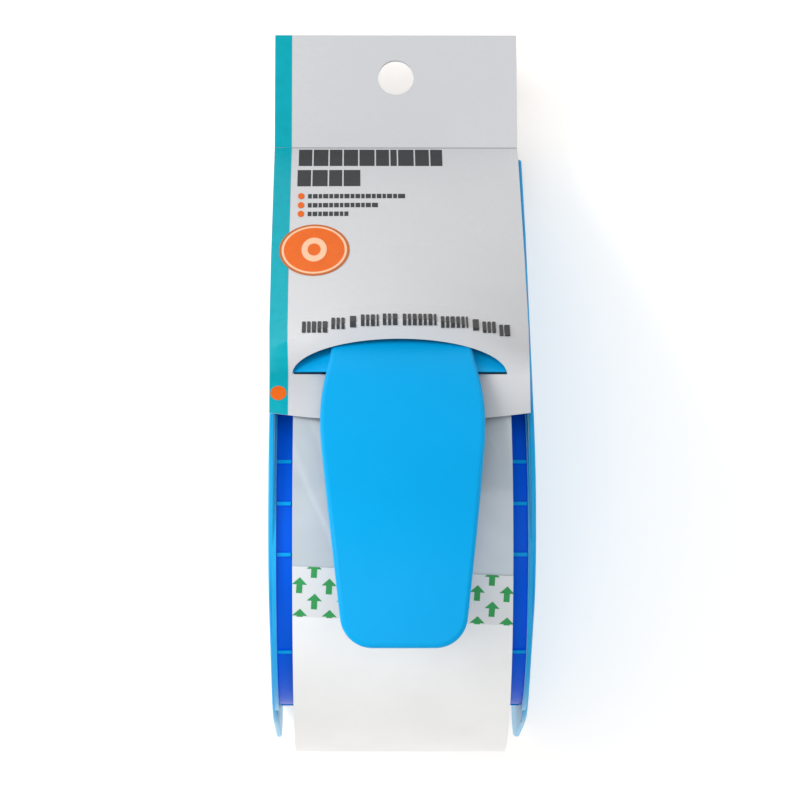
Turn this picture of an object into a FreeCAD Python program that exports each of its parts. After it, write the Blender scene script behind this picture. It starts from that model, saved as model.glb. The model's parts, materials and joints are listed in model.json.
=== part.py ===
"""Hand-held packing tape dispenser with a palm handle, hung on its retail card.

Millimetres. X runs across the tape, +Y towards the cutting nose and the card's hang tab, +Z up.
The dispenser stands on the straight lower edges of its two side walls, at Z = 0, and the origin
is below the middle of its overall box. Each function returns one node; the nodes at the end go to parts/.
"""

import FreeCAD, Part
import math
import os
from FreeCAD import Vector

# Roll of tape, 1.88 inch wide on a 3 inch core
TAPE_WIDTH = 47.7
ROLL_R = 48.3
CORE_BORE_R = 38.1
CORE_R = 41.3
LEADER_T = 0.25
AXIS_Y, AXIS_Z = -36.2, 52.0
TAB_FROM, TAB_TO, LEADER_TO = 4.0, 18.0, 215.0  # degrees behind the top of the roll

# Side walls
WALL_OUT = 29.3
WALL_T = 1.25
WALL_IN = WALL_OUT - WALL_T
FLARE = 0.45
FLARE_FROM, FLARE_TO = -5.0, 35.0  # the rim grows outwards by FLARE between these, towards the nose
NOSE_Y = 54.3
REAR_Y = -85.2
TOP_Z = 91.0
OUTLINE = [(REAR_Y, 0, 12), (26, 0, 30), (49, 3.6, 8), (NOSE_Y, 9, 4), (NOSE_Y, 18, 3), (-15, TOP_Z, 38),
           (-43.8, TOP_Z, 25), (-76.8, 54.7, 35), (REAR_Y, 16, 25)]  # (y, z, corner radius), foot first
PANEL_INSET = 4.0
PANEL_DEPTH = 0.3
LAND_R = 19.0

# Hubs and the stubs that they turn on
STUB_R = 9.0
STUB_BORE_R = 7.0
STUB_END = 17.2
STUB_FLOOR = 2.8
HUB_R = 37.4
HUB_WALL = 1.8
HUB_IN, HUB_OUT = 15.5, WALL_IN - 0.25
BEAD_R, BEAD_DEEP, BEAD_HIGH = HUB_R + 0.25, 1.2, 0.45  # ring inside each wall, round the hub's edge
COLLAR_RIBS = (30, 15, -2, -38)  # degrees in front of the hub's top, the same on each third
RUN_GAP = 0.08
RETAINER_R = 11.4
RETAINER_T = 2.0
HUB_SCREW_R, HUB_SCREW_HEAD_R, HUB_SCREW_HEAD_T = 1.9, 3.6, 1.9

# Hood and handle
HOOD_X = WALL_IN - 0.2
HOOD_T = 2.2
HOOD_FRONT = (54.0, 21.0)
HOOD_REAR = (2.3, 86.0)
FLANGE_T = 3.0
HANDLE_T = 3.2
CROWN_R = 95.0
HANDLE_TOP = [(36.0, 41.5), (28.0, 55.6), (20.0, 68.8), (12.0, 80.6), (4.3, 90.2), (-7.7, 100.5),
              (-21.7, 110.5), (-37.7, 117.6), (-60.0, 120.6)]  # (y, z) down its middle
HANDLE_SIDE = [(14.4, 36.0), (14.7, 14.0), (16.1, 4.6), (17.5, -2.0), (17.9, -8.0), (17.4, -15.5)]  # (x, y)
HANDLE_END_HALF = 12.75
HANDLE_END_Y = -55.8
HANDLE_CORNER_R = 6.8

# Nose: press roller, blade and bars
ROLLER_Y, ROLLER_Z, ROLLER_R = 43.5, 7.5, 6.5
ROLLER_CORE_R = 4.8
AXLE_R = 3.0
SLEEVE_HALF = 25.5
BLADE_Y, BLADE_T = 51.4, 0.6
BLADE_HALF, BLADE_TOP, TOOTH_ROOT, TOOTH_TIP, TEETH = 24.5, 19.6, 10.4, 8.2, 20
BLADE_SCREW_X, BLADE_SCREW_Z = 14.0, 17.7
BAR_REAR, BAR_FRONT = 31.5, 35.3
BAR_TOP = 15.0

# Side screws, countersunk: (y, z, how far in their tips reach)
SIDE_SCREWS = [(3.4, 66.8, 24.9), (25.4, 39.3, 24.9), (49.5, 19.0, 20.5), (33.4, 8.5, 20.5)]
SCREW_R, SCREW_HEAD_R, SCREW_HEAD_T = 1.25, 2.4, 0.85

# Retail card
CARD_T = 0.45
CARD_HALF = 29.2
CARD_DRAW = 0.006  # how much a bow of 1 mm draws each edge in, growing with its square
CARD_X = -0.5
CARD_TIP = (84.6, 14.0)
CARD_FOLD = (56.9, 19.2)
CARD_CREASE = (2.0, 87.9)
STRIP_REAR = (-6.5, 90.2)
STRIP_HALF = 28.6
HANG_HOLE_R = 4.3
HANG_HOLE_FROM_TIP = 10.6
WINDOW_HALF, WINDOW_LOW, WINDOW_TOP = 23.6, 1.95, 9.8


def side(y, z, x=0.0):
    """A point of the side view."""
    return Vector(x, y, z)


def plan(x, y):
    """A point of the view from above."""
    return Vector(x, y, 0)


def rod(x0, x1, y, z, r):
    """A cylinder along X."""
    return Part.makeCylinder(r, x1 - x0, Vector(x0, y, z), Vector(1, 0, 0))


def box(x0, x1, y0, y1, z0, z1):
    return Part.makeBox(x1 - x0, y1 - y0, z1 - z0, Vector(x0, y0, z0))


def corner(before, at, after, r):
    """Where an arc of radius r leaves and joins the two lines that meet at a corner, and its middle."""
    u = (before - at).normalize()
    v = (after - at).normalize()
    half = u.getAngle(v) / 2
    reach = r / math.tan(half)
    middle = at + (u + v).normalize() * (r / math.sin(half) - r)
    return at + u * reach, middle, at + v * reach


def path(points, to3d=side, closed=True):
    """Edges through (a, b, corner radius) points, with the corners rounded. The radius may be left out."""
    at = [to3d(p[0], p[1]) for p in points]
    radii = [p[2] if len(p) > 2 else 0.0 for p in points]
    count = len(at)
    stops = []
    for i in range(count):
        inner = closed or 0 < i < count - 1
        if inner and radii[i] > 0:
            stops.append(corner(at[i - 1], at[i], at[(i + 1) % count], radii[i]))
        else:
            stops.append((at[i], None, at[i]))
    edges = []
    for i in range(count if closed else count - 1):
        start, middle, end = stops[i]
        if middle is not None:
            edges.append(Part.Arc(start, middle, end).toShape())
        edges.append(Part.LineSegment(end, stops[(i + 1) % count][0]).toShape())
    return edges


def bar(points, x0, x1):
    """A side profile of (y, z, corner radius) points, drawn out along X."""
    face = Part.Face(Part.Wire(path(points)))
    solid = face.extrude(Vector(x1 - x0, 0, 0))
    solid.translate(Vector(x0, 0, 0))
    return solid


def ring(x0, x1, y, z, outer, inner):
    return rod(x0, x1, y, z, outer).cut(rod(x0 - 1, x1 + 1, y, z, inner))


def mirrored(shape):
    """The same piece for the other side."""
    return shape.mirror(Vector(0, 0, 0), Vector(1, 0, 0))


def one(shapes):
    """Several overlapping solids as one, with no seams between them."""
    return shapes[0].fuse(shapes[1:]).removeSplitter()


def group(shapes):
    return Part.makeCompound(shapes)


# ---------------------------------------------------------------- side walls


def wall_outline():
    """The wall's outline: straight foot, nose, sloping rim, and a curve over the hub to the rear."""
    return Part.Wire(path(OUTLINE))


def wall_thickness():
    """A tall block with the wall's thickness as seen from above, flared towards the nose."""
    outside = [(WALL_IN, -95), (WALL_OUT, -95), (WALL_OUT, FLARE_FROM), (WALL_OUT + FLARE, FLARE_TO),
               (WALL_OUT + FLARE, 65), (WALL_IN, 65)]
    return Part.Face(Part.Wire(path(outside, plan))).extrude(Vector(0, 0, 120))


def side_screw(y, z, tip_x):
    """A countersunk screw on the +X side, its head just under the wall's face."""
    face = WALL_OUT - PANEL_DEPTH - 0.05
    seat = Vector(face - SCREW_HEAD_T, y, z)
    head = Part.makeCone(SCREW_R, SCREW_HEAD_R, SCREW_HEAD_T, seat, Vector(1, 0, 0))
    shank = rod(tip_x, face - SCREW_HEAD_T + 0.01, y, z, SCREW_R)
    slot = box(face - 0.5, face + 1, y - SCREW_HEAD_R, y + SCREW_HEAD_R, z - 0.35, z + 0.35)
    cross = box(face - 0.5, face + 1, y - 0.35, y + 0.35, z - SCREW_HEAD_R, z + SCREW_HEAD_R)
    keep = rod(face - 0.6, face + 1, y, z, SCREW_HEAD_R * 0.72)
    return one([head, shank]).cut(slot.fuse(cross).common(keep))


def side_screw_hole(y, z):
    """Room for a side screw in the wall."""
    face = WALL_OUT - PANEL_DEPTH
    gap = 0.1
    seat = Vector(face - SCREW_HEAD_T, y, z)
    cone = Part.makeCone(SCREW_R + gap, SCREW_HEAD_R + gap, SCREW_HEAD_T, seat, Vector(1, 0, 0))
    shank_hole = rod(WALL_IN - 1, face, y, z, SCREW_R + gap)
    head_hole = rod(face, WALL_OUT + 1, y, z, SCREW_HEAD_R + gap)
    return cone.fuse([shank_hole, head_hole])


def wall_right():
    """Side wall with an inset outer panel, a land and stub for the hub, and a bead round the hub's edge."""
    wire = wall_outline()
    plate = Part.Face(wire).extrude(Vector(WALL_T + 1, 0, 0))
    plate.translate(Vector(WALL_IN, 0, 0))
    plate = plate.common(wall_thickness())
    rims = []
    for edge in plate.Edges:
        size = edge.BoundBox
        through = size.XMax - size.XMin > WALL_T - 0.1
        fold = size.YMax - size.YMin < 1e-3 and size.ZMax - size.ZMin > 20
        if not through and not fold:
            rims.append(edge)
    plate = plate.makeFillet(0.45, rims)
    panel = Part.Face(wire.makeOffset2D(-PANEL_INSET)).extrude(Vector(2, 0, 0))
    panel.translate(Vector(WALL_OUT - PANEL_DEPTH, 0, 0))
    panel = panel.cut(rod(0, WALL_OUT + 2, AXIS_Y, AXIS_Z, LAND_R))
    stub = rod(STUB_END, WALL_IN + 0.5, AXIS_Y, AXIS_Z, STUB_R)
    bead = ring(WALL_IN - BEAD_HIGH, WALL_IN + 0.5, AXIS_Y, AXIS_Z, BEAD_R + BEAD_DEEP, BEAD_R)
    body = one([plate.cut(panel), stub, bead])
    body = body.cut(rod(0, WALL_OUT - STUB_FLOOR - HUB_SCREW_HEAD_T, AXIS_Y, AXIS_Z, STUB_BORE_R))
    holes = [
        rod(WALL_OUT - HUB_SCREW_HEAD_T - 0.5, WALL_OUT + 1, AXIS_Y, AXIS_Z, HUB_SCREW_HEAD_R + 0.5),
        rod(0, WALL_OUT + 1, AXIS_Y, AXIS_Z, HUB_SCREW_R + 0.1),
        rod(WALL_IN - 1, WALL_OUT + 1, ROLLER_Y, ROLLER_Z, AXLE_R + 0.03),
        ring(WALL_OUT - 0.35, WALL_OUT + 1, AXIS_Y, AXIS_Z, LAND_R - 3.0, LAND_R - 4.0),
    ]
    holes += [side_screw_hole(y, z) for y, z, _ in SIDE_SCREWS]
    return body.cut(holes)


def side_screws_right():
    return group([side_screw(*s) for s in SIDE_SCREWS])


def hub_screw_right():
    """Pan-head screw that draws the retainer into the stub."""
    seat = WALL_OUT - HUB_SCREW_HEAD_T - 0.5
    head = rod(seat, seat + HUB_SCREW_HEAD_T, AXIS_Y, AXIS_Z, HUB_SCREW_HEAD_R)
    head = head.makeFillet(0.8, [e for e in head.Edges if e.BoundBox.XMin > seat + 1 and e.Length > 5])
    shank = rod(STUB_END + 0.5, seat + 0.1, AXIS_Y, AXIS_Z, HUB_SCREW_R)
    top = seat + HUB_SCREW_HEAD_T
    slot = box(top - 0.9, top + 1, AXIS_Y - 2.4, AXIS_Y + 2.4, AXIS_Z - 0.4, AXIS_Z + 0.4)
    cross = box(top - 0.9, top + 1, AXIS_Y - 0.4, AXIS_Y + 0.4, AXIS_Z - 2.4, AXIS_Z + 2.4)
    return one([head, shank]).cut([slot, cross])


def hub_retainer_right():
    """Plug in the stub's bore, with a flange that keeps the hub on."""
    floor = WALL_OUT - STUB_FLOOR - HUB_SCREW_HEAD_T
    plug = rod(STUB_END - 0.1, floor - 0.1, AXIS_Y, AXIS_Z, STUB_BORE_R - 0.03)
    flange = rod(STUB_END - 0.1 - RETAINER_T, STUB_END - 0.1, AXIS_Y, AXIS_Z, RETAINER_R)
    rim = [e for e in flange.Edges if e.BoundBox.XMax < STUB_END - 1 and e.Length > 5]
    flange = flange.makeFillet(0.6, rim)
    bore = rod(STUB_END, floor + 1, AXIS_Y, AXIS_Z, HUB_SCREW_R + 0.03)
    return one([plug, flange]).cut(bore)


def hub_right():
    """Cup-shaped hub: a drum that fits the roll's core, with a web and a bearing boss."""
    drum = ring(HUB_IN, HUB_OUT, AXIS_Y, AXIS_Z, HUB_R, HUB_R - HUB_WALL)
    whole_turn = 2 * math.pi * HUB_R
    lead = [e for e in drum.Edges if e.BoundBox.XMax < HUB_IN + 1e-6 and e.Length > whole_turn - 1]
    drum = drum.makeChamfer(0.9, lead)
    web = rod(HUB_OUT - 2.0, HUB_OUT, AXIS_Y, AXIS_Z, HUB_R - 0.5)
    boss = rod(STUB_END + 0.2, HUB_OUT, AXIS_Y, AXIS_Z, STUB_R + 2.4)
    solids = [drum, web, boss]
    for third in (0, 120, 240):  # collar ribs beside the roll
        for angle in COLLAR_RIBS:
            end = WALL_IN - BEAD_HIGH - 0.15
            rib = box(TAPE_WIDTH / 2 + 0.5, end, -0.4, 0.4, HUB_R - 0.5, HUB_R + 0.45)
            solids.append(turned(rib, third - angle))
    for i in range(6):  # crush ribs inside the core
        rib = box(HUB_IN + 1.6, TAPE_WIDTH / 2 - 0.3, -0.5, 0.5, HUB_R - 0.5, CORE_BORE_R - 0.08)
        solids.append(turned(rib, 60 * i))
    for i in range(6):  # spokes from boss to drum
        spoke = box(HUB_IN + 3, HUB_OUT - 1, -0.8, 0.8, STUB_R + 1.5, HUB_R - 1)
        solids.append(turned(spoke, 60 * i + 30))
    holes = [rod(0, HUB_OUT + 1, AXIS_Y, AXIS_Z, STUB_R + RUN_GAP)]
    for i in range(6):
        hole = rod(HUB_OUT - 3, HUB_OUT + 1, 0, 23.5, 6.0)
        holes.append(turned(hole, 60 * i))
    return one(solids).cut(holes)


def turned(shape, degrees, y=AXIS_Y, z=AXIS_Z):
    """A piece drawn at the origin of the side view, turned about X and carried to an axis."""
    shape.rotate(Vector(0, 0, 0), Vector(1, 0, 0), degrees)
    shape.translate(Vector(0, y, z))
    return shape


# ---------------------------------------------------------------- roll


def wrap(inner, outer, start, end, half_width):
    """A band round the roll between two angles, in degrees behind the top."""

    def at(r, degrees):
        a = math.radians(degrees)
        return side(AXIS_Y - r * math.sin(a), AXIS_Z + r * math.cos(a))

    middle = (start + end) / 2
    wire = Part.Wire(
        [
            Part.Arc(at(outer, start), at(outer, middle), at(outer, end)).toShape(),
            Part.LineSegment(at(outer, end), at(inner, end)).toShape(),
            Part.Arc(at(inner, end), at(inner, middle), at(inner, start)).toShape(),
            Part.LineSegment(at(inner, start), at(outer, start)).toShape(),
        ]
    )
    band = Part.Face(wire).extrude(Vector(2 * half_width, 0, 0))
    band.translate(Vector(-half_width, 0, 0))
    return band


def tape_core():
    half = TAPE_WIDTH / 2 + 0.1
    return ring(-half, half, AXIS_Y, AXIS_Z, CORE_R, CORE_BORE_R)


def tape_winding():
    half = TAPE_WIDTH / 2
    return ring(-half, half, AXIS_Y, AXIS_Z, ROLL_R - LEADER_T - 0.02, CORE_R + 0.02)


def leader_wrap():
    return wrap(ROLL_R - LEADER_T, ROLL_R, TAB_TO + 0.1, LEADER_TO, TAPE_WIDTH / 2)


def start_tab():
    return wrap(ROLL_R - LEADER_T, ROLL_R - 0.05, TAB_FROM, TAB_TO, TAPE_WIDTH / 2)


# ---------------------------------------------------------------- hood and handle


def hood_z(y):
    """Height of the hood's top face."""
    slope = (HOOD_REAR[1] - HOOD_FRONT[1]) / (HOOD_REAR[0] - HOOD_FRONT[0])
    return HOOD_FRONT[1] + (y - HOOD_FRONT[0]) * slope


def hood_shell():
    """Sloping plate between the walls, with a turned-down lip at the nose and a flange inside each wall."""
    drop = HOOD_T / math.cos(math.atan2(HOOD_REAR[1] - HOOD_FRONT[1], HOOD_FRONT[0] - HOOD_REAR[0]))
    lip_y = BLADE_Y + BLADE_T + 0.02
    plate = bar(
        [
            (HOOD_FRONT[0], 15.6, 0.8),
            (HOOD_FRONT[0], HOOD_FRONT[1], 1.5),
            (HOOD_REAR[0], HOOD_REAR[1], 0.6),
            (HOOD_REAR[0], HOOD_REAR[1] - drop, 0.6),
            (lip_y, hood_z(lip_y) - drop),
            (lip_y, 15.6, 0.4),
        ],
        -HOOD_X,
        HOOD_X,
    )
    upper = [(46.4, hood_z(46.4) - 1), (2.3, 85.0), (-3.5, 80.8, 2)]
    lower = [(-3.5, 74.6, 2), (36.3, 22.9, 2), (46.4, 22.9, 2)]
    flange = bar(upper + lower, HOOD_X - FLANGE_T, HOOD_X)
    return [plate, flange, mirrored(flange)]


def handle_section(y, z, slope):
    """A crowned strip across the handle at one place down its length."""
    half = 20.0
    crown = CROWN_R - math.sqrt(CROWN_R**2 - half**2)
    drop = HANDLE_T / math.cos(slope)
    top = [Vector(-half, y, z - crown), Vector(0, y, z), Vector(half, y, z - crown)]
    low = [p - Vector(0, 0, drop) for p in top]
    return Part.Wire(
        [
            Part.Arc(*top).toShape(),
            Part.LineSegment(top[2], low[2]).toShape(),
            Part.Arc(low[2], low[1], low[0]).toShape(),
            Part.LineSegment(low[0], top[0]).toShape(),
        ]
    )


def handle():
    """The palm handle: a long tongue over the roll, free at its rear end."""
    middle = Part.BSplineCurve()
    middle.interpolate([side(*p) for p in HANDLE_TOP])
    sections = []
    for y, z in HANDLE_TOP:
        tangent = middle.tangent(middle.parameter(side(y, z)))[0]
        sections.append(handle_section(y, z, math.atan2(abs(tangent.z), abs(tangent.y))))
    band = Part.makeLoft(sections, True, False)
    edge = Part.BSplineCurve()
    edge.interpolate([plan(*p) for p in HANDLE_SIDE])
    last = HANDLE_SIDE[-1]
    right = [edge.toShape()]
    right += path(
        [
            last,
            (HANDLE_END_HALF, HANDLE_END_Y, HANDLE_CORNER_R),
            (-HANDLE_END_HALF, HANDLE_END_Y, HANDLE_CORNER_R),
            (-last[0], last[1]),
        ],
        plan,
        closed=False,
    )
    left = edge.toShape().mirror(Vector(0, 0, 0), Vector(1, 0, 0))
    root_y = HANDLE_SIDE[0][1]
    across = Part.LineSegment(plan(-HANDLE_SIDE[0][0], root_y), plan(HANDLE_SIDE[0][0], root_y)).toShape()
    outline = Part.Wire(Part.__sortEdges__(right + [left, across]))
    prism = Part.Face(outline).extrude(Vector(0, 0, 160))
    under_hood = [(60, hood_z(60) - 1.2), (HOOD_REAR[0], HOOD_REAR[1] - 1.2), (HOOD_REAR[0], 55), (60, 0)]
    tongue = band.common(prism).cut(bar(under_hood, -30, 30))
    rim = []
    for edge in tongue.Edges:
        size = edge.BoundBox
        upright = size.XMax - size.XMin < 0.01 and size.YMax - size.YMin < 0.01
        if size.YMax < root_y - 1 and not upright and edge.Length > 3.3:
            rim.append(edge)
    return tongue.makeFillet(1.1, rim)


def flare(y, inner_top, outer_x):
    """Section of the saddle beside the handle's root: hollowed from the handle's edge down to the hood."""
    inner_x = 12.5
    low = hood_z(y) - 1.2
    high = max(inner_top, low + 0.4)
    a = Vector(inner_x, y, low)
    b = Vector(inner_x, y, high)
    c = Vector(outer_x, y, low + 1.3)
    bend = Vector(inner_x + (outer_x - inner_x) * 0.5, y, low + 1.3 + (high - low - 1.3) * 0.32)
    d = Vector(outer_x, y, low)
    return Part.Wire(
        [
            Part.LineSegment(a, b).toShape(),
            Part.Arc(b, bend, c).toShape(),
            Part.LineSegment(c, d).toShape(),
            Part.LineSegment(d, a).toShape(),
        ]
    )


def handle_hood():
    """Hood, saddle and handle are one moulding."""
    saddle = Part.makeLoft(
        [flare(2.5, 90.4, 25.0), flare(14.0, 76.4, 24.0), flare(27.0, 56.2, 21.5)], True, True
    )
    rib_low = [(-1.0, 90.6), (-8, 95.8, 10), (-46, 114.6)]
    rib_high = [(-46, 117.0), (-21.7, 108.8), (-7.7, 98.8), (-1.0, 93.0)]
    ribs = [bar(rib_low + rib_high, x - 0.8, x + 0.8) for x in (-7.5, 7.5)]  # stiffen the handle
    solids = hood_shell() + [handle(), saddle, mirrored(saddle)] + ribs
    body = one(solids)
    holes = [rod(HOOD_X - 5, HOOD_X + 1, y, z, SCREW_R + 0.03) for y, z, _ in SIDE_SCREWS[:2]]
    holes += [mirrored(h) for h in holes]
    for x in (-BLADE_SCREW_X, BLADE_SCREW_X):
        holes.append(Part.makeCylinder(1.35, 10, Vector(x, 50, BLADE_SCREW_Z), Vector(0, 1, 0)))
    return body.cut(holes)


# ---------------------------------------------------------------- nose


def blade():
    """Steel strip with a row of pointed teeth."""
    pitch = 2 * BLADE_HALF / TEETH
    points = [Vector(-BLADE_HALF, BLADE_Y, BLADE_TOP), Vector(-BLADE_HALF, BLADE_Y, TOOTH_ROOT)]
    for i in range(TEETH):
        x = -BLADE_HALF + i * pitch
        points.append(Vector(x + pitch / 2, BLADE_Y, TOOTH_TIP))
        points.append(Vector(x + pitch, BLADE_Y, TOOTH_ROOT))
    points += [Vector(BLADE_HALF, BLADE_Y, BLADE_TOP), points[0]]
    strip = Part.Face(Part.makePolygon(points)).extrude(Vector(0, BLADE_T, 0))
    holes = [
        Part.makeCylinder(1.35, 3, Vector(x, BLADE_Y - 1, BLADE_SCREW_Z), Vector(0, 1, 0))
        for x in (-BLADE_SCREW_X, BLADE_SCREW_X)
    ]
    return strip.cut(holes)


def nose_bar():
    """Cross bar that clamps the blade to the hood's lip."""
    front = BLADE_Y - 0.02
    rear = 47.6
    solid = bar([(rear, 15.8, 0.6), (front, 15.8), (front, 20.2), (rear, 24.4, 0.6)], -HOOD_X, HOOD_X)
    y, z, _ = SIDE_SCREWS[2]
    hole = rod(19, HOOD_X + 1, y, z, SCREW_R + 0.03)
    holes = [hole, mirrored(hole)]
    for x in (-BLADE_SCREW_X, BLADE_SCREW_X):
        holes.append(Part.makeCylinder(1.2, 3.4, Vector(x, front - 3.3, BLADE_SCREW_Z), Vector(0, 1, 0)))
    return solid.cut(holes)


def blade_screws():
    """Two pan-head screws through lip, blade and bar."""
    screws = []
    for x in (-BLADE_SCREW_X, BLADE_SCREW_X):
        seat = HOOD_FRONT[0] + 0.02
        head = Part.makeCylinder(2.2, 1.1, Vector(x, seat, BLADE_SCREW_Z), Vector(0, 1, 0))
        head = head.makeFillet(0.5, [e for e in head.Edges if e.BoundBox.YMin > seat + 1])
        tip = BLADE_Y - 3
        shank = Part.makeCylinder(1.15, seat + 0.1 - tip, Vector(x, tip, BLADE_SCREW_Z), Vector(0, 1, 0))
        slot = box(x - 1.5, x + 1.5, seat + 0.6, seat + 2, BLADE_SCREW_Z - 0.25, BLADE_SCREW_Z + 0.25)
        cross = box(x - 0.25, x + 0.25, seat + 0.6, seat + 2, BLADE_SCREW_Z - 1.5, BLADE_SCREW_Z + 1.5)
        screws.append(one([head, shank]).cut([slot, cross]))
    return group(screws)


def guide_bar():
    """Lower cross bar whose fins hold the tape's end close behind the press roller."""
    solid = bar(
        [(BAR_REAR, 2.0, 0.8), (BAR_FRONT, 2.0, 0.8), (BAR_FRONT, BAR_TOP, 0.8), (BAR_REAR, BAR_TOP, 0.8)],
        -HOOD_X,
        HOOD_X,
    )
    fins = [box(x - 0.5, x + 0.5, BAR_FRONT - 0.5, BAR_FRONT + 0.9, 4.0, 12.0) for x in range(-22, 23, 4)]
    y, z, _ = SIDE_SCREWS[3]
    hole = rod(19, HOOD_X + 1, y, z, SCREW_R + 0.03)
    return one([solid] + fins).cut([hole, mirrored(hole)])


def keeper_film():
    """Clear springy flap that reaches from the guide bar towards the press roller."""
    low = BAR_TOP + 0.03
    thick = 0.3
    return bar(
        [
            (BAR_REAR + 0.2, low),
            (35.0, low, 2.0),
            (38.6, low - 1.5),
            (38.75, low - 1.22),
            (35.1, low + thick, 2.3),
            (BAR_REAR + 0.2, low + thick),
        ],
        -22.0,
        22.0,
    )


def keeper_rivets():
    """Moulded pips that hold the flap down."""
    pips = []
    for x in (-15.0, 0.0, 15.0):
        pip = Part.makeCylinder(1.2, 0.7, Vector(x, 33.2, BAR_TOP + 0.35))
        pips.append(pip.makeFillet(0.4, [e for e in pip.Edges if e.BoundBox.ZMin > BAR_TOP + 1]))
    return group(pips)


def roller_axle():
    half = WALL_OUT - 0.3
    pin = rod(-half, half, ROLLER_Y, ROLLER_Z, AXLE_R)
    return pin.makeChamfer(0.4, [e for e in pin.Edges if e.BoundBox.XMax - e.BoundBox.XMin < 1e-6])


def axle_washers():
    washer = ring(SLEEVE_HALF + 0.8, WALL_IN - 0.2, ROLLER_Y, ROLLER_Z, 5.2, AXLE_R + 0.03)
    return group([washer, mirrored(washer)])


def roller_core():
    half = SLEEVE_HALF + 0.5
    return ring(-half, half, ROLLER_Y, ROLLER_Z, ROLLER_CORE_R, AXLE_R + RUN_GAP)


def press_sleeve():
    """Rubber sleeve with shallow grooves round it."""
    sleeve = ring(-SLEEVE_HALF, SLEEVE_HALF, ROLLER_Y, ROLLER_Z, ROLLER_R, ROLLER_CORE_R + 0.01)
    grooves = [
        ring(x - 0.6, x + 0.6, ROLLER_Y, ROLLER_Z, ROLLER_R + 1, ROLLER_R - 0.5) for x in range(-20, 21, 8)
    ]
    return sleeve.cut(grooves)


# ---------------------------------------------------------------- retail card


def card_section(edge, bow, lean, half=None):
    """A strip across the card: edge is (y, z), and its middle stands out by bow, square to lean degrees.

    A bowed sheet draws its edges in a little, so half is worked out from the bow unless it is given.
    """
    if half is None:
        half = CARD_HALF - bow**2 * CARD_DRAW
    normal = Vector(0, math.sin(math.radians(lean)), math.cos(math.radians(lean)))
    left = Vector(CARD_X - half, *edge)
    middle = Vector(CARD_X, *edge) + normal * bow
    right = Vector(CARD_X + half, *edge)
    low = [p - normal * CARD_T for p in (right, middle, left)]
    return Part.Wire(
        [
            Part.Arc(left, middle, right).toShape(),
            Part.LineSegment(right, low[0]).toShape(),
            Part.Arc(*low).toShape(),
            Part.LineSegment(low[2], left).toShape(),
        ]
    )


def panel_point(part):
    """A point of the panel's edge: 0 at the fold, 1 at the crease above the hood."""
    start, end = side(*CARD_FOLD), side(*CARD_CREASE)
    at = start + (end - start) * part
    return at.y, at.z


def card_front():
    """Front of the card: hang tab, sloping panel with an arched window, and a strip under the handle."""
    slope = math.degrees(math.atan2(CARD_CREASE[1] - CARD_FOLD[1], CARD_FOLD[0] - CARD_CREASE[0]))
    sections = [
        card_section(CARD_TIP, 0.05, -10),
        card_section(CARD_FOLD, 0.05, 20),
        card_section(panel_point(0.5), 2.9, slope),
        card_section(panel_point(0.8), 6.1, slope),
        card_section(panel_point(0.9), 8.3, slope),
        card_section(CARD_CREASE, -2.4, 0, STRIP_HALF),
        card_section(STRIP_REAR, 4.5, -25, STRIP_HALF),
    ]
    sheet = Part.makeLoft(sections, True, True)
    arch = Part.Ellipse(plan(CARD_X, WINDOW_LOW), WINDOW_HALF, WINDOW_TOP - WINDOW_LOW)
    foot = Part.LineSegment(plan(CARD_X - WINDOW_HALF, WINDOW_LOW), plan(CARD_X + WINDOW_HALF, WINDOW_LOW))
    outline = Part.Wire([Part.Arc(arch, 0, math.pi).toShape(), foot.toShape()])
    window = Part.Face(outline).extrude(Vector(0, 0, 120))
    return sheet.cut([window, hang_hole()])


def tab_direction():
    """Unit vector down the hang tab from its tip, and the tab's upward normal."""
    along = (side(*CARD_FOLD) - side(*CARD_TIP)).normalize()
    return along, along.cross(Vector(-1, 0, 0))


def hang_hole():
    along, normal = tab_direction()
    if normal.z < 0:
        normal = normal * -1
    centre = side(*CARD_TIP, CARD_X) + along * HANG_HOLE_FROM_TIP
    return Part.makeCylinder(HANG_HOLE_R, 10, centre - normal * 5, normal)


def card_back():
    """Back of the card: glued behind the hang tab, it hangs before the blade and turns under the nose."""
    gap = CARD_T + 0.05
    hang_y = CARD_FOLD[0] - 0.6
    tip_y, tip_z = CARD_TIP[0] - 0.1, CARD_TIP[1] - gap
    fold_z = CARD_FOLD[1] - gap - 0.05
    foot_z = 0.1
    sheet = bar(
        [
            (tip_y, tip_z),
            (hang_y - CARD_T, fold_z + 0.05, 0.8),
            (hang_y - CARD_T, foot_z + CARD_T, 1.15),
            (30.0, foot_z + CARD_T),
            (30.0, foot_z),
            (hang_y, foot_z, 1.6),
            (hang_y, fold_z - CARD_T, 0.4),
            (tip_y - 0.08, tip_z - CARD_T),
        ],
        CARD_X - CARD_HALF + 0.2,
        CARD_X + CARD_HALF - 0.2,
    )
    return sheet.cut(hang_hole())


# ---------------------------------------------------------------- nodes

NODES = {
    "right_wall": wall_right,
    "left_wall": lambda: mirrored(wall_right()),
    "wall_screws_right": side_screws_right,
    "wall_screws_left": lambda: mirrored(side_screws_right()),
    "hub_screw_right": hub_screw_right,
    "hub_screw_left": lambda: mirrored(hub_screw_right()),
    "hub_retainer_right": hub_retainer_right,
    "hub_retainer_left": lambda: mirrored(hub_retainer_right()),
    "hub_right": hub_right,
    "hub_left": lambda: mirrored(hub_right()),
    "tape_core": tape_core,
    "tape_winding": tape_winding,
    "leader_wrap": leader_wrap,
    "start_tab": start_tab,
    "handle_hood": handle_hood,
    "blade": blade,
    "nose_bar": nose_bar,
    "blade_screws": blade_screws,
    "guide_bar": guide_bar,
    "keeper_film": keeper_film,
    "keeper_rivets": keeper_rivets,
    "roller_axle": roller_axle,
    "axle_washers": axle_washers,
    "roller_core": roller_core,
    "press_sleeve": press_sleeve,
    "card_front": card_front,
    "card_back": card_back,
}


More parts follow.
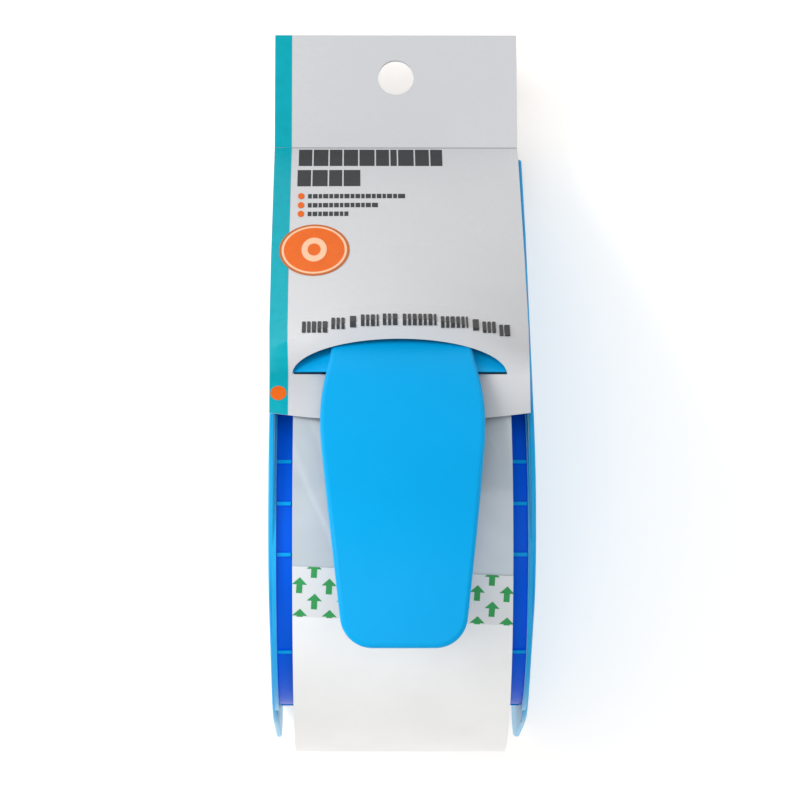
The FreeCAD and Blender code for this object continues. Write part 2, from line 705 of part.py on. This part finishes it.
def main():
    os.makedirs("parts", exist_ok=True)
    for name, make in NODES.items():
        shape = make()
        solids = shape.Solids
        print(f"{name}: {len(solids)} solid(s), {shape.Volume:.1f} mm3, valid {shape.isValid()}")
        shape.exportStep(f"parts/{name}.step")


main()
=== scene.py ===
import json
import math

import bmesh
import bpy
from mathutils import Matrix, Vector
from mathutils.bvhtree import BVHTree


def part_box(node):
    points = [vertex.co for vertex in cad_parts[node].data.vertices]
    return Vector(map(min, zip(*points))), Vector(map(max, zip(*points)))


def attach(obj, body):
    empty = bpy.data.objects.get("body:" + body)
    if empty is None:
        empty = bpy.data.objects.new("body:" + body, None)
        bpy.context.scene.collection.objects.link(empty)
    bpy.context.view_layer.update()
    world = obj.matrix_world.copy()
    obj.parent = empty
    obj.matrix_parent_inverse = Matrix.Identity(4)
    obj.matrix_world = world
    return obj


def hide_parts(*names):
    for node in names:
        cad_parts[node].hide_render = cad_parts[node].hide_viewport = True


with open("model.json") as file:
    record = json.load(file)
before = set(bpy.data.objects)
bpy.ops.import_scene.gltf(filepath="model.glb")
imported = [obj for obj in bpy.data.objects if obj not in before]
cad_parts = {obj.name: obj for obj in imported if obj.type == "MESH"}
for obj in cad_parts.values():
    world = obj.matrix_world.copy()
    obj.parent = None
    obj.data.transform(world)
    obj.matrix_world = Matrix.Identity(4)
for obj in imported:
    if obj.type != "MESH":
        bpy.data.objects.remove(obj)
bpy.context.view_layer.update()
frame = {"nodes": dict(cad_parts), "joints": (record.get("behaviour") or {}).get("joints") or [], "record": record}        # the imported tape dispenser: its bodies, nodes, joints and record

# Everything is in metres, in the CAD frame. Small sizes are written in millimetres and scaled by MM.
MM = 0.001
NODES = frame["nodes"]
JOINTS = {joint["name"]: joint for joint in frame["joints"]}
AXIS = Vector(JOINTS["roll_spin"]["pos_m"])

ROLL_R = AXIS.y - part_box("leader_wrap")[0].y  # the leader's rear tangent is the roll's full radius
TAPE_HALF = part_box("tape_winding")[1].x
HUB_R = 37.4 * MM  # the hubs' drum, which the collar ribs stand on
CARD_LOW, CARD_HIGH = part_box("card_front")


# ---------------------------------------------------------------- materials


class Shader:
    """A new material with one Principled shader, and short calls for the nodes that feed it."""

    def __init__(self, name, colour, roughness=0.4, **sockets):
        self.material = bpy.data.materials.new(name)
        self.material.use_nodes = True
        self.tree = self.material.node_tree
        self.out = self.tree.nodes["Principled BSDF"]
        self.out.inputs["Base Color"].default_value = (*colour, 1)
        self.out.inputs["Roughness"].default_value = roughness
        for socket, value in sockets.items():
            self.out.inputs[socket.replace("_", " ")].default_value = value
        self.colour = colour
        self.place = self.node("ShaderNodeTexCoord").outputs["Object"]

    def node(self, kind, links=None, **settings):
        made = self.tree.nodes.new(kind)
        for key, value in settings.items():
            setattr(made, key, value)
        for socket, value in (links or {}).items():
            if isinstance(value, bpy.types.NodeSocket):
                self.tree.links.new(value, made.inputs[socket])
            else:
                made.inputs[socket].default_value = value
        return made

    def math(self, operation, a, b=0.0):
        return self.node("ShaderNodeMath", {0: a, 1: b}, operation=operation).outputs[0]

    def stretched(self, scale):
        return self.node("ShaderNodeMapping", {"Vector": self.place, "Scale": scale}).outputs[0]

    def noise(self, scale, detail=3.0, roughness=0.55, place=None):
        links = {"Vector": place or self.place, "Scale": scale, "Detail": detail, "Roughness": roughness}
        return self.node("ShaderNodeTexNoise", links).outputs["Fac"]

    def spread(self, value, low, high, to_low=0.0, to_high=1.0):
        links = {"Value": value, "From Min": low, "From Max": high, "To Min": to_low, "To Max": to_high}
        return self.node("ShaderNodeMapRange", links).outputs[0]

    def mix(self, share, a, b):
        made = self.node("ShaderNodeMix", data_type="RGBA")
        for socket, value in ((made.inputs[0], share), (made.inputs[6], a), (made.inputs[7], b)):
            if isinstance(value, bpy.types.NodeSocket):
                self.tree.links.new(value, socket)
            elif isinstance(value, float):
                socket.default_value = value
            else:
                socket.default_value = (*value, 1)
        return made.outputs[2]

    def send(self, value, socket):
        self.tree.links.new(value, self.out.inputs[socket])

    def bump(self, height, depth, strength=1.0):
        """Height is 0 to 1, and depth is what 1 stands for, in metres."""
        made = self.node("ShaderNodeBump", {"Height": height, "Strength": strength, "Distance": depth})
        self.send(made.outputs[0], "Normal")

    def mottle(self, scale, share, detail=3.0):
        """The colour drifts a little lighter and darker over the surface."""
        light = tuple(min(1.0, c * (1 + share) + share * 0.02) for c in self.colour)
        dark = tuple(c * (1 - share) for c in self.colour)
        value = self.spread(self.noise(scale, detail), 0.3, 0.7)
        self.send(self.mix(value, dark, light), "Base Color")

    def vary_gloss(self, scale, low, high):
        self.send(self.spread(self.noise(scale, 4.0), 0.3, 0.7, low, high), "Roughness")


def moulded_plastic(name, colour, low_rough=0.28, high_rough=0.4, drift=0.05, **sockets):
    """Injection-moulded plastic: slow colour drift, uneven gloss, fine spark-eroded grain."""
    made = Shader(name, colour, IOR=1.49, **sockets)
    made.mottle(28, drift)
    made.vary_gloss(60, low_rough, high_rough)
    made.bump(made.noise(2600, 2.0), 0.012 * MM, 0.5)
    return made.material


def from_axis(made):
    """Distance from the roll's axis."""
    across, along, up = made.node("ShaderNodeSeparateXYZ", {0: made.place}).outputs
    from_y = made.math("SUBTRACT", along, AXIS.y)
    from_z = made.math("SUBTRACT", up, AXIS.z)
    squares = made.math("ADD", made.math("POWER", from_y, 2.0), made.math("POWER", from_z, 2.0))
    return made.math("SQRT", squares)


def hub_plastic(name, colour, rib_highlight_colour, low_rough, high_rough, **sockets):
    """The hubs' plastic, painted lighter from the tops of the collar ribs outward: a painted highlight."""
    made = Shader(name, colour, IOR=1.49, **sockets)
    dark = tuple(c * 0.94 for c in colour)
    body = made.mix(made.spread(made.noise(28), 0.3, 0.7), dark, colour)
    # Painted highlight: from just above the drum outward the colour turns to the lighter rib colour, so the
    # collar ribs' tops read as lit.
    painted_rib_highlight = made.spread(from_axis(made), HUB_R + 0.08 * MM, HUB_R + 0.3 * MM)
    made.send(made.mix(painted_rib_highlight, body, rib_highlight_colour), "Base Color")
    made.vary_gloss(60, low_rough, high_rough)
    made.bump(made.noise(2600, 2.0), 0.012 * MM, 0.5)
    return made.material


def wound_tape():
    """Clear film on clear film: pale grey, with slanting strain lines and fine rings on the roll's sides."""
    made = Shader("wound_clear_tape", (0.56, 0.6, 0.63), IOR=1.5, Coat_Weight=0.5, Coat_Roughness=0.12)
    across = made.node("ShaderNodeSeparateXYZ", {0: made.place}).outputs[0]
    radius = from_axis(made)
    rings = made.math("SINE", made.math("MULTIPLY", radius, 26000.0))
    coarse = made.noise(900, 2.0, place=made.node("ShaderNodeCombineXYZ", {0: radius}).outputs[0])
    side = made.spread(made.math("ABSOLUTE", across), TAPE_HALF - 0.05 * MM, TAPE_HALF - 0.02 * MM)
    turn = (0, 0, math.radians(-24))
    slant = made.node("ShaderNodeMapping", {"Vector": made.place, "Rotation": turn}).outputs[0]
    streaked = made.node("ShaderNodeMapping", {"Vector": slant, "Scale": (260, 14, 14)}).outputs[0]
    streak = made.spread(made.noise(1.0, 3.0, place=streaked), 0.52, 0.66)
    cloud = made.spread(made.noise(45, 3.0), 0.35, 0.68)
    face = made.mix(cloud, (0.48, 0.53, 0.56), (0.58, 0.63, 0.66))
    face = made.mix(made.math("MULTIPLY", streak, 0.35), face, (0.72, 0.76, 0.79))
    edge = made.mix(made.spread(coarse, 0.3, 0.7), (0.5, 0.49, 0.44), (0.72, 0.71, 0.66))
    made.send(made.mix(side, face, edge), "Base Color")
    made.send(made.spread(side, 0, 1, 0.2, 0.5), "Roughness")
    height = made.math("ADD", made.math("MULTIPLY", made.math("MULTIPLY", rings, side), 0.4), coarse)
    made.bump(height, 0.02 * MM, 0.6)
    return made.material


def board(name, colour, speckle):
    """Coated card: faint fibre cloud, soft satin, slightly uneven surface."""
    made = Shader(name, colour, IOR=1.45)
    fibres = made.noise(700, 4.0, 0.7, made.stretched((1, 2.2, 1)))
    cloud = made.noise(36, 3.0)
    darker = tuple(c * (1 - speckle) for c in colour)
    value = made.math("MULTIPLY", made.spread(fibres, 0.35, 0.7), made.spread(cloud, 0.25, 0.75))
    made.send(made.mix(value, darker, colour), "Base Color")
    made.vary_gloss(90, 0.38, 0.52)
    made.bump(fibres, 0.03 * MM, 0.35)
    return made.material


def spiral_board():
    """Brown core board with the slanting laps of a spiral-wound tube."""
    made = Shader("spiral_core_board", (0.52, 0.39, 0.25), IOR=1.4)
    wave = {"Vector": made.place, "Scale": 30.0, "Distortion": 0.6, "Detail": 2.0}
    laps = made.node("ShaderNodeTexWave", wave).outputs["Fac"]
    fibre = made.noise(900, 5.0, 0.7)
    value = made.math("MULTIPLY", laps, made.spread(fibre, 0.3, 0.7))
    made.send(made.mix(value, (0.42, 0.3, 0.18), (0.62, 0.48, 0.33)), "Base Color")
    made.vary_gloss(200, 0.75, 0.9)
    made.bump(fibre, 0.08 * MM, 0.6)
    return made.material


def film(name, colour, low, high, share=0.03, **sockets):
    """Smooth plastic film over the layers below it, so its gloss is slightly wavy."""
    made = Shader(name, colour, IOR=1.5, **sockets)
    made.mottle(50, share, 4.0)
    made.vary_gloss(80, low, high)
    made.bump(made.noise(160, 2.0, place=made.stretched((1, 0.25, 0.25))), 0.05 * MM, 0.35)
    return made.material


def ink(name, colour):
    """Offset print on the card or the tape: slightly uneven cover."""
    made = Shader(name, colour, IOR=1.45, Specular_IOR_Level=0.12)
    made.mottle(420, 0.05, 4.0)
    made.vary_gloss(150, 0.32, 0.45)
    made.bump(made.noise(1500, 3.0), 0.01 * MM, 0.3)
    return made.material


def metal(name, colour, low, high, grain):
    """Steel with fine drawn lines in the direction that grain leaves long."""
    made = Shader(name, colour, Metallic=1.0, IOR=2.5)
    lines = made.noise(1.0, 3.0, place=made.stretched(grain))
    made.send(made.mix(made.spread(lines, 0.3, 0.7), tuple(c * 0.82 for c in colour), colour), "Base Color")
    made.send(made.spread(lines, 0.3, 0.7, low, high), "Roughness")
    made.bump(lines, 0.01 * MM, 0.4)
    return made.material


def rubber():
    made = Shader("sleeve_rubber_black", (0.035, 0.036, 0.04), IOR=1.52)
    made.mottle(180, 0.2)
    made.vary_gloss(300, 0.55, 0.75)
    made.bump(made.noise(1900, 4.0), 0.03 * MM, 0.6)
    return made.material


MATERIALS = {
    "body_blue": moulded_plastic("moulded_sky_blue", (0.01, 0.4, 0.8), Subsurface_Weight=0.2,
                                 Subsurface_Scale=0.002, Specular_IOR_Level=0.16, Sheen_Weight=0.7,
                                 Sheen_Roughness=0.35, Sheen_Tint=(0.75, 0.95, 1, 1)),
    "handle_blue": moulded_plastic("moulded_handle_blue", (0.0, 0.37, 0.77), 0.36, 0.46, 0.03,
                                   Subsurface_Weight=0.15, Subsurface_Scale=0.001, Specular_IOR_Level=0.1,
                                   Sheen_Weight=0.35, Sheen_Roughness=0.3, Sheen_Tint=(0.3, 0.8, 1, 1)),
    # The hubs' second, lighter colour is a painted highlight on the collar ribs' tops.
    "hub_blue": hub_plastic("moulded_royal_blue", (0.0, 0.13, 0.95), (0.0, 0.4, 0.95), 0.3, 0.42,
                            Specular_IOR_Level=0.06),
    "core_board": spiral_board(),
    "clear_tape": wound_tape(),
    "leader_white": film("leader_white_film", (0.9, 0.903, 0.895), 0.38, 0.5),
    "blade_steel": metal("blade_strip_steel", (0.66, 0.67, 0.69), 0.2, 0.34, (60, 4000, 4000)),
    "screw_steel": metal("zinc_plated_steel", (0.6, 0.61, 0.62), 0.26, 0.4, (900, 900, 900)),
    "clear_film": film("keeper_clear_film", (0.82, 0.85, 0.87), 0.12, 0.2, Transmission_Weight=0.6),
    "washer_white": moulded_plastic("natural_acetal", (0.75, 0.75, 0.71), 0.35, 0.45, 0.04),
    "sleeve_rubber": rubber(),
    "card_white": board("coated_white_card", (0.6, 0.61, 0.63), 0.05),
}

for part in frame["record"]["subparts"]:
    mesh = NODES[part["node"]].data
    mesh.materials.clear()
    mesh.materials.append(MATERIALS[part["material_slot"]])


# ---------------------------------------------------------------- making pieces


def piece(name, build, material, body):
    """A mesh piece from a function that fills a bmesh."""
    made = bmesh.new()
    build(made)
    bmesh.ops.recalc_face_normals(made, faces=made.faces)
    mesh = bpy.data.meshes.new(name)
    made.to_mesh(mesh)
    made.free()
    mesh.materials.append(material)
    thing = bpy.data.objects.new(name, mesh)
    bpy.context.scene.collection.objects.link(thing)
    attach(thing, body)
    return thing


def slab(made, rows, thickness):
    """A closed thin slab under a grid of (point, outward normal)."""
    top = [[made.verts.new(p) for p, _ in row] for row in rows]
    low = [[made.verts.new(p - n * thickness) for p, n in row] for row in rows]
    last, side = len(rows) - 1, len(rows[0]) - 1
    for i in range(last):
        for j in range(side):
            made.faces.new((top[i][j], top[i + 1][j], top[i + 1][j + 1], top[i][j + 1]))
            made.faces.new((low[i][j], low[i][j + 1], low[i + 1][j + 1], low[i + 1][j]))
    for i in range(last):
        made.faces.new((top[i][0], low[i][0], low[i + 1][0], top[i + 1][0]))
        made.faces.new((top[i][side], top[i + 1][side], low[i + 1][side], low[i][side]))
    for j in range(side):
        made.faces.new((top[0][j], top[0][j + 1], low[0][j + 1], low[0][j]))
        made.faces.new((top[last][j], low[last][j], low[last][j + 1], top[last][j + 1]))


# ---------------------------------------------------------------- the roll's leader and start tab

TAB_TILT = 2.6  # degrees of turn from one edge of the tape to the other
TAB_FRONT, TAB_BACK, LEADER_END = 5.2, 18.5, 214.0  # degrees behind the roll's top


def on_roll(x, degrees, radius):
    turn = math.radians(degrees)
    outward = Vector((0, -math.sin(turn), math.cos(turn)))
    return Vector((x, AXIS.y, AXIS.z)) + outward * radius, outward


def roll_band(front, back, radius, thickness, steps):
    """A band round the roll. front and back are (left, right) angles at the tape's edges."""

    def build(made):
        rows = []
        for i in range(steps + 1):
            row = []
            for j in range(13):
                across = j / 12
                share = i / steps
                start = front[0] + (front[1] - front[0]) * across
                end = back[0] + (back[1] - back[0]) * across
                row.append(on_roll(TAPE_HALF * (2 * across - 1), start + (end - start) * share, radius))
            rows.append(row)
        slab(made, rows, thickness)

    return build


FRONT = (TAB_FRONT - TAB_TILT / 2, TAB_FRONT + TAB_TILT / 2)
BACK = (TAB_BACK - TAB_TILT / 2, TAB_BACK + TAB_TILT / 2)
tab = piece("start_tab_film", roll_band(FRONT, BACK, ROLL_R, 0.2 * MM, 12),
            film("start_tab_white_film", (0.76, 0.765, 0.755), 0.34, 0.44), "tape_roll")
leader = piece("leader_film", roll_band(BACK, (LEADER_END, LEADER_END), ROLL_R - 0.03 * MM, 0.2 * MM, 120),
               MATERIALS["leader_white"], "tape_roll")
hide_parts("start_tab")
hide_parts("leader_wrap")


# ---------------------------------------------------------------- printed arrows on the tab

ARROW_PITCH, ARROW_ROW = 6.4 * MM, 3.5 * MM
ARROW_WIDE, ARROW_TALL, ARROW_HEAD, ARROW_STEM = 3.25 * MM, 3.5 * MM, 1.6 * MM, 1.3 * MM
ARROW_SHIFT = 0.1 * MM
ARROW_TILT = math.radians(-3.5)


def arrow_outline(x, s):
    """An upward arrow round (x, s), where s runs forward along the tape."""
    half, stem, tip = ARROW_WIDE / 2, ARROW_STEM / 2, ARROW_TALL / 2
    shoulder = tip - ARROW_HEAD
    shape = [(0, tip), (-half, shoulder), (-stem, shoulder), (-stem, -tip), (stem, -tip), (stem, shoulder),
             (half, shoulder)]
    cos, sin = math.cos(ARROW_TILT), math.sin(ARROW_TILT)
    return [(x + a * cos - b * sin, s + a * sin + b * cos) for a, b in shape]


def clipped(outline, inside, cross):
    """The part of an outline where inside(point) holds. cross(a, b) is where an edge leaves it."""
    kept = []
    for i, b in enumerate(outline):
        a = outline[i - 1]
        if inside(a) != inside(b):
            kept.append(cross(a, b))
        if inside(b):
            kept.append(b)
    return kept


def between(line):
    """A clip at the edge s = line(x): it keeps what is in front when sign is 1, and behind when it is -1."""

    def clip(outline, sign):
        def over(p):
            return sign * (p[1] - line(p[0]))

        def cross(a, b):
            share = over(a) / (over(a) - over(b))
            return (a[0] + (b[0] - a[0]) * share, a[1] + (b[1] - a[1]) * share)

        return clipped(outline, lambda p: over(p) >= 0, cross)

    return clip


def arc_place(degrees_pair, x):
    """How far forward of the roll's top the tab's edge is at x, along the tape."""
    share = (x / TAPE_HALF + 1) / 2
    return -math.radians(degrees_pair[0] + (degrees_pair[1] - degrees_pair[0]) * share) * ROLL_R


def on_tape(p):
    return abs(p[0]) <= TAPE_HALF


def at_edge(a, b):
    """Where the line from a to b crosses the nearer edge of the tape."""
    edge = math.copysign(TAPE_HALF, a[0] if abs(a[0]) > abs(b[0]) else b[0])
    share = (edge - a[0]) / (b[0] - a[0])
    return (edge, a[1] + (b[1] - a[1]) * share)


def arrows(made):
    front = between(lambda x: arc_place(FRONT, x))
    back = between(lambda x: arc_place(BACK, x))
    lift = 0.05 * MM
    for row in range(-1, 5):
        for column in range(-5, 6):
            x = (column + 0.5 * (row % 2)) * ARROW_PITCH + ARROW_SHIFT
            s = arc_place(FRONT, x) - 0.6 * MM - row * ARROW_ROW
            shape = back(front(arrow_outline(x, s), -1), 1)
            if shape:
                shape = clipped(shape, on_tape, at_edge)
            if len(shape) < 3:
                continue
            top, low = [], []
            for px, ps in shape:
                point, outward = on_roll(px, -math.degrees(ps / ROLL_R), ROLL_R + lift)
                top.append(made.verts.new(point))
                low.append(made.verts.new(point - outward * 0.08 * MM))
            made.faces.new(top)
            made.faces.new(low[::-1])
            for i in range(len(top)):
                made.faces.new((top[i - 1], top[i], low[i], low[i - 1]))


piece("tab_arrows", arrows, ink("arrow_green_ink", (0.045, 0.34, 0.1)), "tape_roll")


# ---------------------------------------------------------------- print on the card

CARD_TREE = BVHTree.FromPolygons([v.co for v in NODES["card_front"].data.vertices],
                                 [tuple(p.vertices) for p in NODES["card_front"].data.polygons])
INK_LIFT = 0.05 * MM
OVER_LIFT = 0.13 * MM  # for print that lies over other print
INK_DEEP = 0.1 * MM  # the thickness of a layer of print, part of it sunk into the card
DOWN = Vector((0, 0, -1))


def on_card(x, y, lift=INK_LIFT):
    """The point of the card's top face straight below (x, y), in metres, and its normal."""
    place, normal, _, _ = CARD_TREE.ray_cast(Vector((x, y, 1)), DOWN)
    if place is None:
        raise ValueError(f"nothing of the card is under {x:.4f}, {y:.4f}")
    if normal.z < 0:
        normal = -normal
    return place + normal * lift, normal


def is_card(x, y):
    return CARD_TREE.ray_cast(Vector((x, y, 1)), DOWN)[0] is not None


def edge_between(inside, outside, test):
    """The value nearest outside for which test still holds."""
    for _ in range(24):
        middle = (inside + outside) / 2
        if test(middle):
            inside = middle
        else:
            outside = middle
    return inside


def stripe(made):
    """The coloured band down the card's left edge, from the strip by the handle to the hang tab's tip."""
    along, across = 240, 6
    within = CARD_LOW.x + 3 * MM
    rear_y = CARD_LOW.y + STRIPE * MM * 0.75
    rear_x = edge_between(within, CARD_LOW.x - MM, lambda x: is_card(x, rear_y))
    rears = []
    for j in range(across + 1):
        x = rear_x + (STRIPE_INSET + STRIPE * j / across) * MM
        rears.append(edge_between(rear_y, CARD_LOW.y - MM, lambda y: is_card(x, y)) + STRIPE_INSET * MM)
    rows = []
    for i in range(along + 1):
        row = []
        for j, rear in enumerate(rears):
            y = rear + (CARD_HIGH.y - 2 * STRIPE_INSET * MM - rear) * i / along
            left = edge_between(within, CARD_LOW.x - MM, lambda x: is_card(x, max(y, rear_y)))
            row.append(on_card(left + (STRIPE_INSET + STRIPE * j / across) * MM, y, 1.4 * INK_LIFT))
        rows.append(row)
    slab(made, rows, INK_DEEP)


def patch(x0, x1, y0, y1, across, along, lift=INK_LIFT):
    """A slab of ink over a rectangle of the card, in millimetres as seen from above."""

    def build(made):
        rows = []
        for i in range(along + 1):
            y = (y0 + (y1 - y0) * i / along) * MM
            rows.append([on_card((x0 + (x1 - x0) * j / across) * MM, y, lift) for j in range(across + 1)])
        slab(made, rows, lift + INK_LIFT)

    return build


def disc(x, y, wide, tall, inner=0.0, lift=OVER_LIFT, rings=6, spokes=64):
    """An ellipse of ink, or an elliptical ring where inner is the share left open, in millimetres."""

    def build(made):
        grid = []
        for i in range(rings + 1):
            share = inner + (1 - inner) * i / rings
            share = max(share, 0.001)
            row = []
            for j in range(spokes):
                turn = 2 * math.pi * j / spokes
                at = ((x + wide * share * math.cos(turn)) * MM, (y + tall * share * math.sin(turn)) * MM)
                row.append(on_card(*at, lift))
            grid.append(row)
        top = [[made.verts.new(p) for p, _ in row] for row in grid]
        low = [[made.verts.new(p - n * INK_DEEP) for p, n in row] for row in grid]
        for i in range(rings):
            for j in range(spokes):
                k = (j + 1) % spokes
                made.faces.new((top[i][j], top[i + 1][j], top[i + 1][k], top[i][k]))
                made.faces.new((low[i][j], low[i][k], low[i + 1][k], low[i + 1][j]))
        for j in range(spokes):
            k = (j + 1) % spokes
            made.faces.new((top[rings][j], low[rings][j], low[rings][k], top[rings][k]))
            made.faces.new((top[0][j], top[0][k], low[0][k], low[0][j]))

    return build


TEAL = ink("teal_ink", (0.0, 0.36, 0.44))
ORANGE = ink("orange_ink", (0.74, 0.13, 0.009))
DEEP_ORANGE = ink("deep_orange_ink", (0.5, 0.13, 0.03))
PALE = ink("pale_peach_ink", (0.85, 0.52, 0.33))
CHARCOAL = ink("charcoal_ink", (0.045, 0.047, 0.05))


def on_front(name, build, material):
    return piece(name, build, material, "frame")


STRIPE, STRIPE_INSET = 4.05, 0.04
on_front("card_stripe", stripe, TEAL)

# Painted shade: a thin grey line along the score that the hang tab is folded along, standing in for the
# shade in the crease
FOLD_SHADE_GREY = ink("fold_painted_shade_grey", (0.3, 0.31, 0.33))
FOLD_Y, FOLD_SHADE_HALF = 56.9, 0.06
fold_shade = patch(-29.5, 28.5, FOLD_Y - FOLD_SHADE_HALF, FOLD_Y + FOLD_SHADE_HALF, 40, 2, OVER_LIFT)
on_front("card_fold_painted_shade", fold_shade, FOLD_SHADE_GREY)

# Badge: an ellipse with a picture of a tape roll in place of words
BADGE_X, BADGE_Y, BADGE_WIDE, BADGE_TALL = -19.7, 30.7, 8.1, 6.25
on_front("badge_rim", disc(BADGE_X, BADGE_Y, BADGE_WIDE, BADGE_TALL, 0.93), DEEP_ORANGE)
on_front("badge_ring", disc(BADGE_X, BADGE_Y, BADGE_WIDE * 0.93, BADGE_TALL * 0.93, 0.93), PALE)
on_front("badge_face", disc(BADGE_X, BADGE_Y, BADGE_WIDE * 0.865, BADGE_TALL * 0.865), ORANGE)
on_front("badge_roll", disc(BADGE_X, BADGE_Y, 2.9, 2.9, 0.52, 1.5 * OVER_LIFT, 4), PALE)
on_front("corner_dot", disc(-27.1, -2.2, 1.75, 1.55), ORANGE)


def blocks(left, right, low, high, widths, gap=0.35, lift=INK_LIFT):
    """A line of print with no letters: upright blocks whose widths repeat, in millimetres."""

    def build(made):
        x, i = left, 0
        while x < right - 0.2:
            wide = widths[i % len(widths)]
            if right - x - wide < gap + wide / 2:
                wide = right - x
            patch(x, x + wide, low, high, 4, 6, lift)(made)
            x += wide + gap
            i += 1

    return build


TITLE_WIDTHS = (3.2, 3.5, 3.0, 3.4, 3.6, 3.1, 1.5, 3.7, 3.3)
on_front("title_line_1", blocks(-23.8, 10.5, 52.1, 56.4, TITLE_WIDTHS), CHARCOAL)
on_front("title_line_2", blocks(-24.0, -9.1, 46.8, 51.0, (3.2, 3.6, 3.1, 3.0)), CHARCOAL)

FEATURES = ((1.4, 44.2), (-5.0, 41.9), (-11.9, 39.7))  # each line's right end and the middle of its height
FEATURE_HALF = 0.55
for number, (right_end, middle) in enumerate(FEATURES, 1):
    on_front(f"feature_dot_{number}", disc(-23.0, middle, 0.75, 0.75, rings=3, spokes=24), ORANGE)
    line = blocks(-21.4, right_end, middle - FEATURE_HALF, middle + FEATURE_HALF, (0.9, 1.1, 0.8, 1.2), 0.25)
    on_front(f"feature_line_{number}", line, CHARCOAL)


ARCH_RISE, ARCH_HALF = 2.6, 24.0


def arched_line(made):
    """A line of small blocks that follows the window's arch."""
    words = ((-22.0, -16.4), (-15.5, -12.6), (-11.4, -10.1), (-9.0, -5.1), (-4.2, -1.0), (0.2, 7.6),
             (8.6, 14.6), (15.7, 17.0), (17.9, 20.8), (21.7, 24.0))
    for left, right in words:
        middle = (left + right) / 2
        rise = ARCH_RISE * (1 - (middle / ARCH_HALF) ** 2)
        blocks(left, right, 10.2 + rise, 12.6 + rise, (0.75, 0.65, 0.85), 0.4, 2 * OVER_LIFT)(made)


on_front("size_line", arched_line, CHARCOAL)


# ---------------------------------------------------------------- floor, light and camera


def floor():
    made = Shader("pale_floor", (0.9, 0.86, 0.82), 0.7, Specular_IOR_Level=0.1, Emission_Color=(1, 1, 1, 1),
                  Emission_Strength=0.36)
    made.mottle(3, 0.006)
    mesh = bpy.data.meshes.new("floor")
    reach = 3.0
    corners = [(-reach, -reach, 0), (reach, -reach, 0), (reach, reach, 0), (-reach, reach, 0)]
    mesh.from_pydata(corners, [], [(0, 1, 2, 3)])
    mesh.materials.append(made.material)
    thing = bpy.data.objects.new("floor", mesh)
    thing.location.z = -0.05 * MM
    bpy.context.scene.collection.objects.link(thing)


def area_light(name, place, target, size, power, colour=(1, 1, 1)):
    data = bpy.data.lights.new(name, "AREA")
    data.shape = "DISK"
    data.size = size
    data.energy = power
    data.color = colour
    thing = bpy.data.objects.new(name, data)
    thing.location = place
    thing.rotation_euler = (Vector(target) - Vector(place)).to_track_quat("-Z", "Y").to_euler()
    bpy.context.scene.collection.objects.link(thing)


def studio():
    area_light("key", (-0.95, 0.45, 0.85), (0, 0, 0.05), 0.7, 10.0)
    area_light("top", (-0.1, 0.05, 1.6), (0, 0, 0.05), 1.6, 9.0)
    area_light("rear_fill", (-0.1, -1.1, 0.9), (0, -0.04, 0.05), 0.9, 2.4)
    world = bpy.data.worlds.new("studio_white")
    world.use_nodes = True
    world.node_tree.nodes["Background"].inputs[0].default_value = (1, 1, 1, 1)
    world.node_tree.nodes["Background"].inputs[1].default_value = 0.42
    bpy.context.scene.world = world
    bpy.context.scene.view_settings.view_transform = "Standard"


def camera():
    """Straight above the middle of the dispenser, a little to its left, with a long lens."""
    data = bpy.data.cameras.new("camera")
    data.sensor_width = 36.0
    data.lens = 146.07
    thing = bpy.data.objects.new("camera", data)
    place = Vector((-0.0098, -0.0037, 0.8))
    target = Vector((0.0, -0.0037, 0.0535))
    thing.location = place
    thing.rotation_euler = (0, math.atan2(place.x - target.x, place.z - target.z), 0)
    bpy.context.scene.collection.objects.link(thing)
    bpy.context.scene.camera = thing


floor()
studio()
camera()
